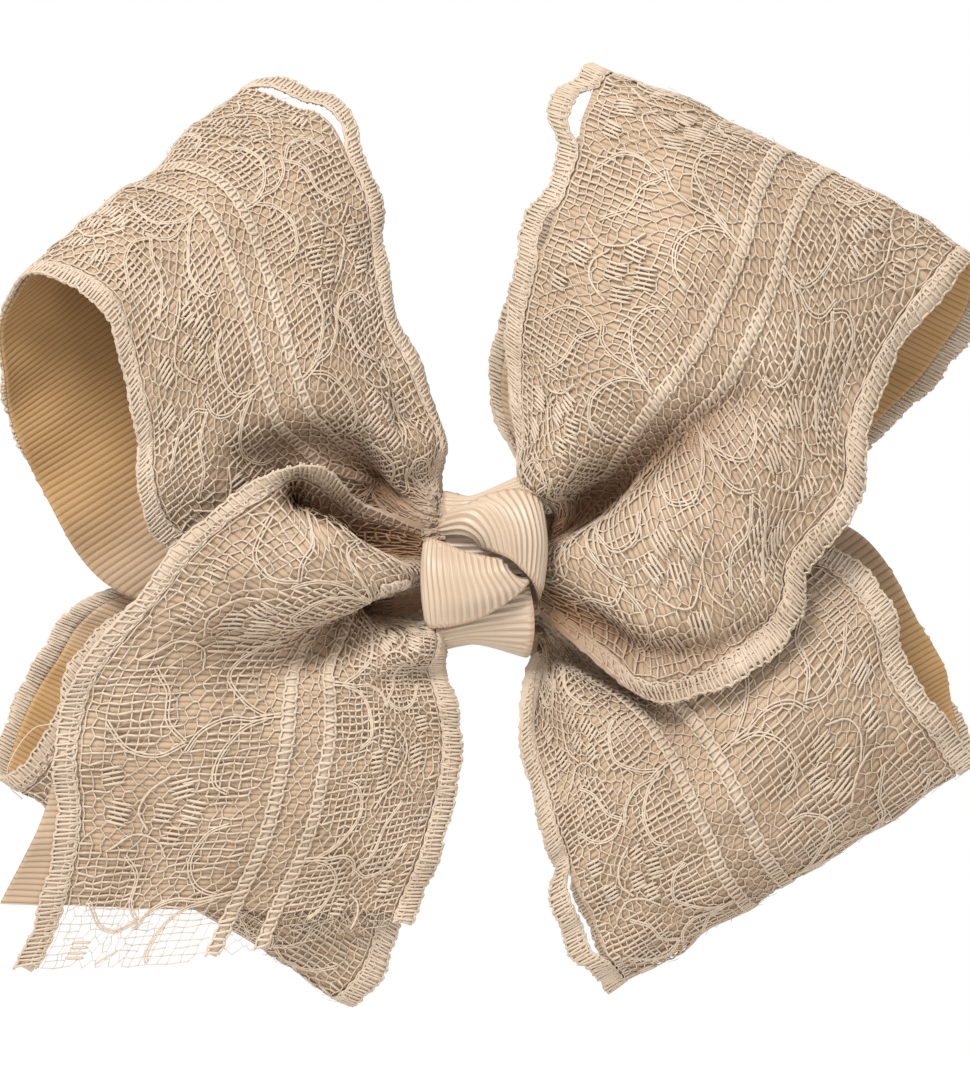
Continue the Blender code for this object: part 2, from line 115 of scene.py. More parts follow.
# Creases and swells of each ribbon's front layer, seen from the front: (height at the start, height at the
# end, width, line of (x, z) points). Negative heights are valleys.
CREASES = {
    "upper_left": [
        (-6.5, -3.0, 4.2, [(-12, 11), (-16, 14.5), (-23, 17.5), (-33, 16)]),
        (-4.5, -5.5, 6.0, [(-13, 5), (-19, 8), (-27, 9)]),
        (-2.6, -0.5, 2.2, [(-11.5, 22), (-14, 29), (-20, 40)]),
        (2.0, 0.5, 4.0, [(-9, 18), (-14, 30), (-22, 45)]),
    ],
    "upper_right": [
        (-11.0, -0.5, 3.0, [(8.7, 5.6), (13.0, 9.0), (18.5, 13.6), (25, 18.4), (33, 23), (41, 27)]),
        (4.2, 0.5, 4.0, [(8.7, 13), (13, 20), (19, 31)]),
        (3.2, 0.8, 4.6, [(9, 1.5), (20, 3.5), (35, 5)]),
        (-8.0, -2.0, 2.7, [(8.7, -3.5), (15, -8.0), (22, -11.5), (32, -11), (42, -7)]),
        (-2.0, -1.2, 6.5, [(28, 16), (36, 22), (48, 27)]),
        (-5.0, -2.0, 2.4, [(9, -8), (15, -13.5), (23, -18), (34, -15)]),
    ],
    "lower_right": [
        (-7.0, -1.0, 2.8, [(8, -10), (15, -13), (23, -18), (31, -28)]),
        (-3.0, -0.5, 2.4, [(8, -13), (10, -24), (14, -36)]),
        (2.0, 0.5, 3.2, [(9, -12), (14, -21), (20, -33)]),
    ],
    "lower_left": [(-2.0, -1.0, 5.0, [(-9, -8), (-20, -20), (-30, -30)])],
    "tail": [
        (-12.0, -11.5, 3.0, [(-9.5, 3.4), (-14, 6.4), (-19, 10.0), (-25.5, 11.6)]),
        (1.5, 1.5, 3.0, [(-12, 11), (-18, 15.5), (-25, 16.5), (-33, 14)]),
        (-13.5, -0.5, 2.8, [(-8.5, -4.6), (-14, -7.4), (-20, -10.2), (-27, -12.4), (-34, -14.0)]),
        (3.0, 0.6, 4.2, [(-9, -0.5), (-20, 1), (-31, 0.5)]),
        (4.0, 0.5, 3.0, [(-8.5, -8.8), (-15, -12), (-24, -16)]),
    ],
}

# Gentle pulls of the front layers in the plane of the bow: (x shift, z shift, reach, (x, z) of the middle)
PULLS = {
    "upper_left": [(-1.8, 0, 16, (-16, 42))],
    "upper_right": [(-5.0, 0.5, 8, (47, 2)), (-4.0, 0, 13, (64, 31)), (-2.6, 0, 9, (56, 19)),
                    (2.6, 0, 15, (9, 62))],
    "lower_right": [(0, -3.2, 10, (50, 3)), (-4.6, 0, 12, (63, -13)), (2.6, 0.6, 13, (14, -56))],
    "lower_left": [(-3.4, 0, 12, (-17, -62))],
    "tail": [(4.2, -0.8, 15, (-57, -5))],
}


# --- Sheets ---

def catmull(points, u):
    """Catmull-Rom through points (first axis) at u from 0 to 1, run on straight outside that range."""
    last = len(points) - 1
    place = u * last
    i = np.clip(np.floor(place).astype(int), 0, last - 1)
    spread = (...,) + (None,) * (points.ndim - 1)
    f = (np.clip(place, 0, last) - i)[spread]
    before = 2 * points[0] - points[1]
    after = 2 * points[-1] - points[-2]
    full = np.concatenate([before[None], points, after[None]])
    p0, p1, p2, p3 = full[i], full[i + 1], full[i + 2], full[i + 3]
    bend = (3 * p1 - p0 - 3 * p2 + p3) * f ** 3 + (2 * p0 - 5 * p1 + 4 * p2 - p3) * f ** 2
    over = (place - np.clip(place, 0, last))[spread]
    slope = np.where(over < 0, points[1] - points[0], points[-1] - points[-2])
    return p1 + ((p2 - p0) * f + bend) * 0.5 + over * slope


def smooth(x, low, high):
    """0 below low, 1 above high, and a soft step between them."""
    f = np.clip((x - low) / (high - low), 0, 1)
    return f * f * (3 - 2 * f)


def unit(vectors):
    return vectors / (np.linalg.norm(vectors, axis=-1, keepdims=True) + 1e-12)


def distance_along(path):
    """How far along a path each of its points is."""
    return np.concatenate([[0], np.cumsum(np.linalg.norm(np.diff(path, axis=0), axis=1))])


def waves(a, t, seed, size):
    """Soft random undulation, about one unit high, with wavelengths near size."""
    rng = np.random.default_rng(seed)
    total = 0
    for _ in range(7):
        turn, phase = rng.uniform(0, 2 * math.pi, 2)
        length = size * rng.uniform(0.7, 1.6)
        total = total + np.sin((a * math.cos(turn) + t * math.sin(turn)) * 2 * math.pi / length + phase)
    return total / 3


def crease(points, first, last, width, line):
    """Height of a crease at each point, by its distance from the line as seen from the front."""
    line = catmull(np.array(line, float), np.linspace(0, 1, 40))
    away = (points[..., :1] - line[:, 0]) ** 2 + (points[..., 2:] - line[:, 1]) ** 2
    share = away.argmin(axis=-1) / (len(line) - 1)
    return (first + (last - first) * share) * np.exp(-away.min(axis=-1) / width ** 2)


class Sheet:
    """A ribbon's outer face as a dense grid over (a, t), read by interpolation."""

    def __init__(self, name, seed):
        self.is_loop = name != "tail"
        ribbon = RIBBONS[name]
        edge_a, middle, edge_b = (np.array([(x, -out, z) for x, out, z in ribbon[key]])
                                  for key in ("edge_a", "middle", "edge_b"))
        swell = np.sin(np.pi * np.arange(len(middle)) / (len(middle) - 1))[:, None]
        rise = np.array([0, -ribbon["puff"], 0]) * swell
        cage = np.stack([edge_a, (edge_a + middle) / 2 + rise, middle, (middle + edge_b) / 2 + rise, edge_b])
        fine = np.linspace(0, 1 if self.is_loop else TAIL_RUN_ON, 2000)
        run = distance_along(catmull(middle, fine))
        self.length = float(np.interp(1, fine, run))
        self.reach = run[-1]
        self.rows = int(self.reach / GRID_STEP) + 1
        self.columns = int(2 * GRID_REACH / GRID_STEP) + 1
        along = np.linspace(0, self.reach, self.rows)
        across = np.linspace(-GRID_REACH, GRID_REACH, self.columns)
        u = np.interp(along, run, fine)
        lines = np.stack([catmull(line, u) for line in cage])
        self.points = np.swapaxes(catmull(lines, across / RIBBON_WIDTH + 0.5), 0, 1)
        self.pull(PULLS[name], u)
        self.find_normals()
        self.crumple(*np.meshgrid(along, across, indexing="ij"), CREASES[name], seed)
        self.even_out()
        self.run_under()
        self.find_normals()

    def pull(self, pulls, u):
        """Shifts parts of the front layer sideways, up to the loop's far bend."""
        x, z = self.points[..., 0].copy(), self.points[..., 2].copy()
        before_bend = 1 - smooth(u, 0.62, 0.75)[:, None] if self.is_loop else 1.0
        for x_shift, z_shift, reach, (near_x, near_z) in pulls:
            share = np.exp(-((x - near_x) ** 2 + (z - near_z) ** 2) / reach ** 2) * before_bend
            self.points = self.points + share[..., None] * np.array([x_shift, 0, z_shift])

    def crumple(self, a, t, creases, seed):
        """Raises the face by soft undulations, its creases, and a ripple along both edges."""
        height = 0.35 * waves(a, t, seed, 17) + 0.14 * waves(a, t, seed + 1, 7)
        far = np.minimum(a, self.length - a) if self.is_loop else a
        height = height * smooth(far, 0, 14)
        front = 1 - smooth(a / self.length, 0.5, 0.6) if self.is_loop else 1.0
        folded = np.zeros_like(a)
        for first, last, width, line in creases:
            folded = folded + crease(self.points, first, last, width, line) * front
        # the creases fade at the pinch, where the knot strip holds the cloth flat
        height = height + folded * (0.1 + 0.9 * smooth(a, 0, 8))
        # the painted crease shade comes from the creases' full depth, unfaded at the pinch, so the painted
        # shade stays dark near the knot
        self.depth = np.clip((-folded - 1.0) / 7.0, 0, 1)
        ripple = 0.5 * np.sin(a * 2 * math.pi / 13 + seed)
        height = height + ripple * smooth(abs(t), 20, 31) * smooth(far, 4, 20)
        self.points = self.points + self.normals * height[..., None]

    def run_under(self):
        """Adds the rows at the pinch that run on towards the middle, under the knot strip."""
        self.step = self.reach / (self.rows - 1)
        extra = int(UNDER / self.step)
        inward = np.array([-np.sign(self.points[0, :, 0].mean()), 0, 0])
        steps = (np.arange(extra, 0, -1) * self.step)[:, None, None]
        parts = [self.points[:1] + inward * steps, self.points]
        if self.is_loop:
            parts.append(self.points[-1:] + inward * steps[::-1])
        self.points = np.concatenate(parts)
        more = ((extra, len(self.points) - self.rows - extra), (0, 0))
        self.depth = np.pad(self.depth, more, mode="edge")
        self.rows = len(self.points)
        self.first = -extra * self.step
        self.last = self.length - self.first if self.is_loop else self.length

    def even_out(self):
        """Spreads each row's points evenly along it, so that cloth in the creases isn't stretched."""
        step = np.linalg.norm(np.diff(self.points, axis=1), axis=2)
        run = np.concatenate([np.zeros((self.rows, 1)), np.cumsum(step, axis=1)], axis=1)
        share = np.linspace(0, 1, self.columns)
        for i in range(self.rows):
            even = run[i, -1] * share
            wanted = 0.75 * even + 0.25 * run[i]
            spread = [np.interp(wanted, run[i], self.points[i, :, k]) for k in range(3)]
            self.points[i] = np.stack(spread, axis=1)
            self.depth[i] = np.interp(wanted, run[i], self.depth[i])

    def find_normals(self):
        """Normals that point outwards: towards -Y on the front layer."""
        normals = unit(np.cross(np.gradient(self.points, axis=0), np.gradient(self.points, axis=1)))
        on_front = normals[int(self.rows * 0.3), self.columns // 2, 1]
        self.normals = -normals if on_front > 0 else normals

    def read(self, grid, a, t):
        """A grid's values (rows, columns, k) at flat coordinates."""
        i = np.clip((a - self.first) / self.step, 0, self.rows - 1.001)
        j = np.clip((t + GRID_REACH) / (2 * GRID_REACH) * (self.columns - 1), 0, self.columns - 1.001)
        i0, j0 = i.astype(int), j.astype(int)
        f, g = (i - i0)[..., None], (j - j0)[..., None]
        near = grid[i0, j0] * (1 - g) + grid[i0, j0 + 1] * g
        next_row = grid[i0 + 1, j0] * (1 - g) + grid[i0 + 1, j0 + 1] * g
        return near * (1 - f) + next_row * f

    def place(self, a, t, lift):
        """Points in space, as (..., 3) in millimetres."""
        return self.read(self.points, a, t) + self.read(self.normals, a, t) * np.asarray(lift)[..., None]

    def crease_shade_at(self, a, t):
        """How deep in a crease each place is, from 0 to 1, as the amount of painted crease shade there."""
        return self.read(self.depth[..., None], a, t)[..., 0]


# --- Meshes ---

def make_mesh(name, points, quads, uv=None):
    """An object from points in millimetres and an array of quads."""
    mesh = bpy.data.meshes.new(name)
    mesh.vertices.add(len(points))
    mesh.vertices.foreach_set("co", (points * MM).astype(np.float32).ravel())
    mesh.loops.add(quads.size)
    mesh.loops.foreach_set("vertex_index", quads.astype(np.int32).ravel())
    mesh.polygons.add(len(quads))
    mesh.polygons.foreach_set("loop_start", np.arange(0, quads.size, 4, dtype=np.int32))
    mesh.polygons.foreach_set("loop_total", np.full(len(quads), 4, np.int32))
    mesh.update(calc_edges=True)
    if uv is not None:
        layer = mesh.uv_layers.new(name="flat")
        layer.data.foreach_set("uv", uv[quads.ravel()].astype(np.float32).ravel())
    mesh.validate()
    mesh.shade_smooth()
    item = bpy.data.objects.new(name, mesh)
    bpy.context.scene.collection.objects.link(item)
    return item


def point_values(item, name, values):
    """Stores one number per point of an object's mesh, for its material to read."""
    layer = item.data.attributes.new(name, "FLOAT", "POINT")
    layer.data.foreach_set("value", values.astype(np.float32))


def grid_quads(rows, columns):
    """Quads over a grid of points, row by row."""
    i, j = np.meshgrid(np.arange(rows - 1), np.arange(columns - 1), indexing="ij")
    corner = (i * columns + j).ravel()
    return np.stack([corner, corner + columns, corner + columns + 1, corner + 1], axis=1)


def border_of(rows, columns):
    """Point numbers round a grid's border."""
    top = np.arange(columns)
    right = np.arange(1, rows) * columns + columns - 1
    bottom = (rows - 1) * columns + np.arange(columns - 2, -1, -1)
    left = np.arange(rows - 2, 0, -1) * columns
    return np.concatenate([top, right, bottom, left])


def closed_sheet(name, outer, inner, uv):
    """A thin closed body from two grids of points that lie face to face."""
    rows, columns = outer.shape[:2]
    points = np.concatenate([outer.reshape(-1, 3), inner.reshape(-1, 3)])
    back = rows * columns
    face = grid_quads(rows, columns)
    rim = border_of(rows, columns)
    after = np.roll(rim, -1)
    side = np.stack([rim + back, after + back, after, rim], axis=1)
    quads = np.concatenate([face, face[:, ::-1] + back, side])
    return make_mesh(name, points, quads, np.concatenate([uv, uv]))


def tubes(paths, normals, radius, flat=1.0):
    """Closed tubes along paths (N, K, 3); radius is one number or (N, K), and flat squashes them."""
    count, steps = paths.shape[:2]
    along = unit(np.gradient(paths, axis=1))
    side = unit(np.cross(along, normals))
    up = np.cross(side, along)
    angle = (np.arange(SIDES) + 0.5) / SIDES * 2 * math.pi
    reach = np.broadcast_to(np.asarray(radius, float), (count, steps))[..., None, None]
    ring = np.cos(angle)[:, None] * side[:, :, None] + flat * np.sin(angle)[:, None] * up[:, :, None]
    points = (paths[:, :, None] + ring * reach).reshape(-1, 3)
    start = (np.arange(count) * steps * SIDES)[:, None, None]
    near = start + np.arange(steps - 1)[None, :, None] * SIDES
    far = near + SIDES
    corner = np.arange(SIDES)
    after = (corner + 1) % SIDES
    quads = np.stack([near + corner, near + after, far + after, far + corner], axis=-1).reshape(-1, 4)
    near_cap = start[:, 0] + corner[::-1]
    far_cap = start[:, 0] + (steps - 1) * SIDES + corner
    return points, np.concatenate([quads, near_cap, far_cap])


def join(parts):
    """One mesh from a list of (points, quads)."""
    starts = np.cumsum([0] + [len(points) for points, _ in parts])
    return (np.concatenate([points for points, _ in parts]),
            np.concatenate([quads + start for (_, quads), start in zip(parts, starts)]))


# --- Grosgrain ---

def rib(a, pitch, height):
    """Rounded ribs with narrow valleys."""
    inside = (a / pitch) % 1.0
    return height * (1 - abs(2 * inside - 1) ** 2.6)


def grosgrain(name, sheet, body):
    """The ribbed ribbon: closed, ribbed on both faces, with a smooth selvage bead along both edges."""
    rows = int((sheet.last - sheet.first) / RIB_PITCH * 6)
    half = RIBBON_WIDTH / 2
    inner_t = np.linspace(-half + 1.2, half - 1.2, 38)
    bead = np.array([0.0, 0.12, 0.45, 0.8])
    t = np.concatenate([-half + bead, inner_t, half - bead[::-1]])
    a = np.linspace(sheet.first, sheet.last, rows)
    grid_a, grid_t = np.meshgrid(a, t, indexing="ij")
    body_part = smooth(half - abs(grid_t), 0.5, 1.1)
    ribs = rib(grid_a, RIB_PITCH, RIB_HEIGHT) * body_part
    round_edge = np.sqrt(np.clip((half - abs(grid_t)) / 0.45, 0, 1))
    selvage = 0.1 * (1 - body_part) * round_edge
    proud = CLOTH / 2 * (0.25 + 0.75 * round_edge) + ribs + selvage
    outer = sheet.place(grid_a, grid_t, -CLOTH / 2 + proud)
    inner = sheet.place(grid_a, grid_t, -CLOTH / 2 - proud)
    uv = np.stack([grid_a, grid_t], axis=-1).reshape(-1, 2)
    piece = closed_sheet(name, outer, inner, uv)
    far = np.minimum(grid_a, sheet.length - grid_a).ravel()
    # the inner face is shut in between its layers, less so near the pinch, and gets a painted warm glow of
    # the light caught there
    point_values(piece, "inner_face_painted_light", np.concatenate([0 * far, 0.1 + 0.9 * smooth(far, 20, 40)]))
    # painted shade in the creases, stored for the material
    point_values(piece, "crease_painted_shade", np.tile(sheet.crease_shade_at(grid_a, grid_t).ravel(), 2))
    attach(piece, body)
    return piece


# --- Lace ---

THREAD = 0.13               # radius of a net thread
WALE = 1.3                  # net columns' spacing across the lace
COURSE = 1.05               # net rows' spacing along it
REPEAT = 25.0               # length of one pattern repeat
REPEAT_SHIFT = 4.0          # how far it is shifted along on the side of edge_a
# Ovals of close net in each repeat: place along, distance from the lace's middle, half length, half width
LEAVES = [(4.5, 9.5, 5.6, 4.6), (18.5, 9.5, 5.6, 5.0), (11.0, 21.0, 6.5, 4.6)]
BAND = 3.1                  # the two middle ladders stand this far from the lace's middle
BAND_WIDTH = 1.7
BORDER = 2.6                # width of the scalloped border
LACE_LIFT = RIB_HEIGHT + THREAD + 0.06
NET_JITTER = (0.14, 0.13)   # how unevenly the knots lie, along and across

# How far the pattern's middle is shifted towards edge_b
DRIFT = {"upper_right": 3.0, "lower_right": -4.0, "tail": -8.0}
# How far its half by edge_b is shifted back, the share of it from the pinch on, and where the rest comes in
SHIFT_BACK = {"upper_left": (2.6, 0.5, 70, 90), "lower_right": (2.8, 0.0, 62, 80), "tail": (9.0, 0.0, 40, 80)}
# How far the tail's lace runs on past the ribbon's cut, at four places across it
RUN_ON = ([-28, -12, 0, 29], [2.0, 6.0, 8.5, 11.0])

# Slits where the border stands off the ribbon: (side, where -1 is edge_a, from and to along a, how far)
SLITS = {
    "upper_left": [(-1, 56, 61, 1.6), (-1, 62.5, 70, 2.1)],
    "upper_right": [(-1, 60, 68, 2.2), (-1, 41, 46, 1.6)],
    "lower_right": [(-1, 37, 51, 2.0)],
}

# A loose thread that hangs from the tail's border, as (x, y, z)
LOOSE_THREAD = [(-60.5, -26, -21.6), (-62.5, -25, -22.0), (-64.6, -24, -22.6), (-66.8, -23, -25.0),
                (-68.6, -22, -28.4), (-68.4, -21, -31.2), (-66.8, -20, -33.0)]


class Lace:
    """Collects the threads of one lace ribbon in flat coordinates and lays them on its sheet."""

    def __init__(self, name, seed):
        self.name, self.sheet = name, SHEETS[name]
        self.rng = np.random.default_rng(seed)
        self.seed = seed
        self.length = self.sheet.length
        self.parts = []
        self.crease_shades = []
        self.phase = self.rng.uniform(0, REPEAT)

    def lift(self, a, t):
        """Height of the lace: close on the ribbon, with slack places."""
        slack = np.clip(waves(a, t, self.seed + 5, 11), 0, 2)
        return LACE_LIFT + 0.22 * slack

    def warp(self, a, t):
        """Where the pattern lies on the sheet: it drifts across, and the tail's runs on past the cut."""
        t = t + 0.35 * np.sin(a * 2 * math.pi / 61 + self.seed)
        drift = DRIFT.get(self.name, 0.0)
        if self.name == "upper_right":
            # its pattern bunches towards edge_a near the pinch
            drift = drift - 8.0 * (1 - smooth(a, 16, 50)) - 4.0 * (1 - smooth(a, 4, 14))
        t = t + drift * (1 - np.clip(t / LACE_WIDTH * 2, -1, 1) ** 2) ** 2
        back, from_pinch, low, high = SHIFT_BACK.get(self.name, (0.0, 0.0, 0, 1))
        t = t - back * smooth(t, 0, 28) * (from_pinch + (1 - from_pinch) * smooth(a, low, high))
        if self.name == "tail":
            a = a * (1 + np.interp(t, *RUN_ON) / self.length)
        return a, t

    def lay(self, a, t, radius, rise=0.0, flat=0.8):
        """Tubes along flat paths (N, K), with the painted crease shade of each of their points."""
        radius = np.broadcast_to(np.asarray(radius, float), a.shape)
        a, t = self.warp(a, t)
        lift = self.lift(a, t) + rise
        points = self.sheet.place(a, t, lift)
        above = self.sheet.place(a, t, lift + 1.0) - points
        self.parts.append(tubes(points, above, radius, flat=flat))
        self.crease_shades.append(np.repeat(self.sheet.crease_shade_at(a, t).ravel(), SIDES))

    def net(self):
        """A knotted net: wavering wales joined by short links, closer together in the filled leaves."""
        half = LACE_WIDTH / 2 - BORDER
        count = int(half / WALE)
        first, last = self.sheet.first, self.sheet.last
        courses = int((last - first) / COURSE)
        k = np.arange(-count, count + 1)
        a0 = np.linspace(first, last, courses + 1)
        kk, jj = np.meshgrid(k, np.arange(courses + 1), indexing="ij")
        base_t = kk * WALE
        base_a = a0[jj]
        openness = 0.5 + 0.5 * waves(base_a, base_t, self.seed + 9, 15)
        filled = self.is_filled(base_a, base_t)
        swing = np.where(filled, 0.05, 0.16 + 0.2 * np.clip(openness, 0, 1)) * WALE
        side = np.where((kk + jj) % 2 == 0, 1, -1)
        t = base_t + side * swing + self.rng.normal(0, NET_JITTER[1], base_t.shape)
        a = base_a + self.rng.normal(0, NET_JITTER[0], base_t.shape)
        inside = abs(t) < half + 0.3
        for n in range(len(k)):
            if abs(abs(k[n] * WALE) - BAND) < BAND_WIDTH / 2:
                continue
            knots = THREAD * self.rng.uniform(0.75, 1.3, a[n:n + 1].shape) * self.worn(a[n:n + 1], t[n:n + 1])
            self.lay(a[n:n + 1], np.clip(t[n:n + 1], -half - 0.4, half + 0.4), knots)
        # links between neighbours: every other course in open net, each course in filled leaves
        left_a, left_t, right_a, right_t = a[:-1], t[:-1], a[1:], t[1:]
        meets = (kk[:-1] + jj[:-1]) % 2 == 0
        wanted = meets | filled[:-1]
        wanted &= self.rng.random(wanted.shape) > 0.04
        middle = abs((left_t + right_t) / 2)
        wanted &= (abs(middle - BAND) > BAND_WIDTH / 2 + 0.2) & inside[:-1]
        share = np.linspace(-0.06, 1.06, 3)
        link_a = left_a[wanted][:, None] + (right_a - left_a)[wanted][:, None] * share
        link_t = left_t[wanted][:, None] + (right_t - left_t)[wanted][:, None] * share
        thick = np.where(filled[:-1][wanted], 0.19, THREAD * 1.25)[:, None] * self.worn(link_a, link_t)
        self.lay(link_a, link_t, thick * self.rng.uniform(0.8, 1.2, (len(link_a), 1)), 0.05)

    def worn(self, a, t):
        """Thinner net where the tail's lace runs on alone past the ribbon's cut."""
        if self.name != "tail":
            return np.ones_like(a)
        return 1 - 0.62 * smooth(self.warp(a, t)[0], self.length - 0.5, self.length + 0.5)

    def is_filled(self, a, t):
        """Inside the combed leaves on either side of each sprig, and along the border."""
        along = (a + self.phase + np.where(t > 0, 0.0, REPEAT_SHIFT)) % REPEAT
        out = abs(t)
        filled = (out > 24.5) & (np.sin(a * 2 * math.pi / REPEAT * 2) > -0.2) | (out > 26.8)
        for centre, middle, length, width in LEAVES:
            filled |= ((along - centre) / length) ** 2 + ((out - middle) / width) ** 2 < 1
        return filled

    def cord(self, points, radius=0.16, doubled=0.36, samples=26, rise=0.1):
        """A cord through flat points, laid double when doubled is its strands' spacing."""
        path = catmull(np.array(points, float), np.linspace(0, 1, samples))
        along = np.gradient(path, axis=0)
        across = unit(np.stack([-along[:, 1], along[:, 0]], axis=1))
        strands = [-0.5, 0.5] if doubled else [0.0]
        paths = np.stack([path + across * s * doubled for s in strands])
        inside = (path[:, 0] > 0.3) & (path[:, 0] < self.length - 0.3)
        if inside.sum() < 3:
            return
        paths = paths[:, inside]
        twist = 1 + 0.22 * np.sin(np.arange(paths.shape[1]) * 2.2)[None]
        twist = twist + self.rng.normal(0, 0.06, paths.shape[:2])
        self.lay(paths[..., 0], paths[..., 1], radius * twist, rise)

    def motifs(self):
        """Sprigs that spring from the middle ladders, outer sprigs under the border, and petal bars."""
        for side in (-1, 1):
            first = -self.phase - (0.0 if side > 0 else REPEAT_SHIFT)
            while first < -REPEAT:
                first += REPEAT
            for n in range(int(self.length / REPEAT) + 3):
                a = first + n * REPEAT + 12.2 + self.rng.uniform(-0.4, 0.4)
                wob = self.rng.uniform(-0.5, 0.5, 12)
                root = BAND + BAND_WIDTH / 2
                for pairs, *style in (
                    # the inner sprig: a stem and two curling arcs
                    ([(0, root), (0.1, root + 2.2), (0.4, root + 4.2)], 0.2, 0.45, 8),
                    ([(0.3, root + 2.0), (1.6, root + 5.0), (4.8, root + 7.4 + wob[0]), (8.6, root + 7.2),
                      (10.2, root + 5.2)],),
                    ([(0.0, root + 2.0), (-2.0, root + 5.2), (-5.6, root + 7.6 + wob[1]), (-9.4, root + 6.4),
                      (-10.6, root + 4.0)],),
                    ([(0.4, root + 3.6), (0.2, root + 7.0), (1.6, root + 9.8), (4.2, root + 11.2)],),
                    # the outer sprig
                    ([(3.0, 15.2), (4.6, 18.2), (3.6, 21.8), (0.0, 24.6)],),
                    ([(3.0, 15.2), (0.4, 17.6), (-3.6, 18.4), (-6.6, 21.2 + wob[2])],),
                    ([(-6.0, 15.0 + wob[3]), (-8.6, 17.0), (-9.6, 20.4), (-7.4, 23.6)], 0.2, 0.0),
                    ([(7.4, 16.4), (9.4, 19.0 + wob[4]), (12.2, 20.2), (15.0, 18.6)], 0.2, 0.0),
                ):
                    self.cord([(a + along, side * out) for along, out in pairs], *style)
                # petals: stacked short bars in a ring of flowers
                for along, out, count in ((12.5, 13.2, 5), (12.6 + wob[5], 16.9, 4), (9.2, 15.0, 4),
                                          (15.8, 15.2, 4), (12.4, 22.4 + wob[6], 5), (7.2, 23.6, 4)):
                    self.petal(a + along, side * (out + 0.3 * wob[7]), count)

    def petal(self, a, t, count):
        """A petal of short, thick bars side by side."""
        if not 1.5 < a < self.length - 1.5:
            return
        tilt = self.rng.uniform(-0.25, 0.25)
        rows = (np.arange(count) - (count - 1) / 2) * 0.72
        reach = np.array([-1.4, -0.75, 0.0, 0.75, 1.4])
        bars_a = a + rows[:, None] + tilt * reach
        bars_t = t + reach - tilt * rows[:, None]
        self.lay(bars_a, bars_t, 0.25 * np.array([0.6, 1.0, 1.0, 1.0, 0.6]), 0.1)

    def ladder(self, t_in, t_out, pitch, bar_radius, rail_radius, scallop=0.0):
        """Two rails with close bars across; the outer rail may be scalloped, with bars on the back too."""
        a = np.arange(self.sheet.first, self.sheet.last, 0.45)
        swell = scallop * np.sqrt(abs(np.sin(a * math.pi / 8.4 + self.phase)) + 0.02)
        swell = swell + 0.4 * scallop * abs(np.sin(a * math.pi / 2.1))
        stand = self.stand_off(a, t_out)
        wave = 0.12 * np.sin(a * 2 * math.pi / (2 * pitch))
        inner = t_in + stand + wave * np.sign(t_out)
        outer = t_out + stand + np.sign(t_out) * swell - wave * np.sign(t_out)
        width = abs(outer - inner) / 2
        self.lay(a[None], (inner + outer)[None] / 2, width[None] * 1.25, -0.1, 0.06)
        knots = 1 + 0.25 * np.sin(a * 2 * math.pi / pitch)[None]
        for rail in (inner, outer):
            self.lay(a[None], rail[None], rail_radius * knots, 0.05)
        bars = np.arange(self.sheet.first + pitch * 0.7, self.sheet.last - pitch * 0.5, pitch)
        bars = bars + self.rng.normal(0, 0.07, len(bars))
        lower = np.interp(bars, a, inner)
        upper = np.interp(bars, a, outer)
        share = np.linspace(-0.04, 1.04, 4)
        bars_t = lower[:, None] + (upper - lower)[:, None] * share
        lean = (0.3 * pitch * (-1.0) ** np.arange(len(bars)) + self.rng.normal(0, 0.1, len(bars)))[:, None]
        lean = lean * (share - 0.5)
        thick = bar_radius * self.rng.uniform(0.85, 1.1, (len(bars), 1))
        self.lay(bars[:, None] + lean, bars_t, thick, 0.12)
        if scallop:
            self.lay(bars[:, None] - lean, bars_t, thick, -0.32)

    def fuzz(self, count):
        """Loose fibre ends that stand a little off the lace."""
        a = self.rng.uniform(2, self.length - 2, count)[:, None]
        t = self.rng.uniform(-30, 30, count)[:, None]
        turn = self.rng.uniform(0, 2 * math.pi, count)[:, None]
        step = np.linspace(0, 1, 4)[None] * self.rng.uniform(0.8, 2.2, (count, 1))
        bend = turn + step * self.rng.uniform(-0.9, 0.9, (count, 1))
        lift = 0.15 + 0.5 * np.linspace(0, 1, 4)[None] * self.rng.uniform(0, 1, (count, 1))
        self.lay(a + step * np.cos(bend), t + step * np.sin(bend), 0.035, lift, 1.0)

    def stand_off(self, a, t):
        """How far the border stands off at the slits."""
        off = np.zeros_like(a)
        if abs(t) > LACE_WIDTH / 2 - BORDER - 0.5:
            for side, start, stop, reach in SLITS.get(self.name, []):
                if side * t > 0:
                    opening = smooth(a, start - 3, start + 1) * (1 - smooth(a, stop - 1, stop + 3))
                    off = off + side * reach * opening
        return off

    def build(self):
        """Lays every thread and makes the piece; returns it with its points and quads."""
        self.net()
        self.motifs()
        for side in (-1, 1):
            inner = side * (BAND - BAND_WIDTH / 2)
            outer = side * (BAND + BAND_WIDTH / 2)
            self.ladder(inner, outer, 1.0, 0.27, 0.22)
            edge = LACE_WIDTH / 2
            self.ladder(side * (edge - BORDER), side * (edge - 0.5), 0.62, 0.23, 0.23, 0.6)
            self.ladder(side * (edge - BORDER - 0.3), side * (edge - BORDER + 0.9), 1.05, 0.2, 0.18)
        self.fuzz(900)
        if self.name == "tail":
            loose = catmull(np.array(LOOSE_THREAD, float), np.linspace(0, 1, 60))
            self.parts.append(tubes(loose[None], np.tile([0.0, -1.0, 0.0], (1, 60, 1)), 0.1))
            self.crease_shades.append(np.zeros(60 * SIDES))
        points, quads = join(self.parts)
        piece = make_mesh(f"lace_{self.name}_threads", points, quads)
        # painted shade in the creases, stored for the material
        point_values(piece, "crease_painted_shade", np.concatenate(self.crease_shades))
        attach(piece, "bow")
        return piece, points, quads


# --- Knot, wrap and gathers ---

STRIP_WIDTH = 14.0
STRIP_THICKNESS = 0.5
STRIP_RIB = 1.05            # spacing of the strip's ribs

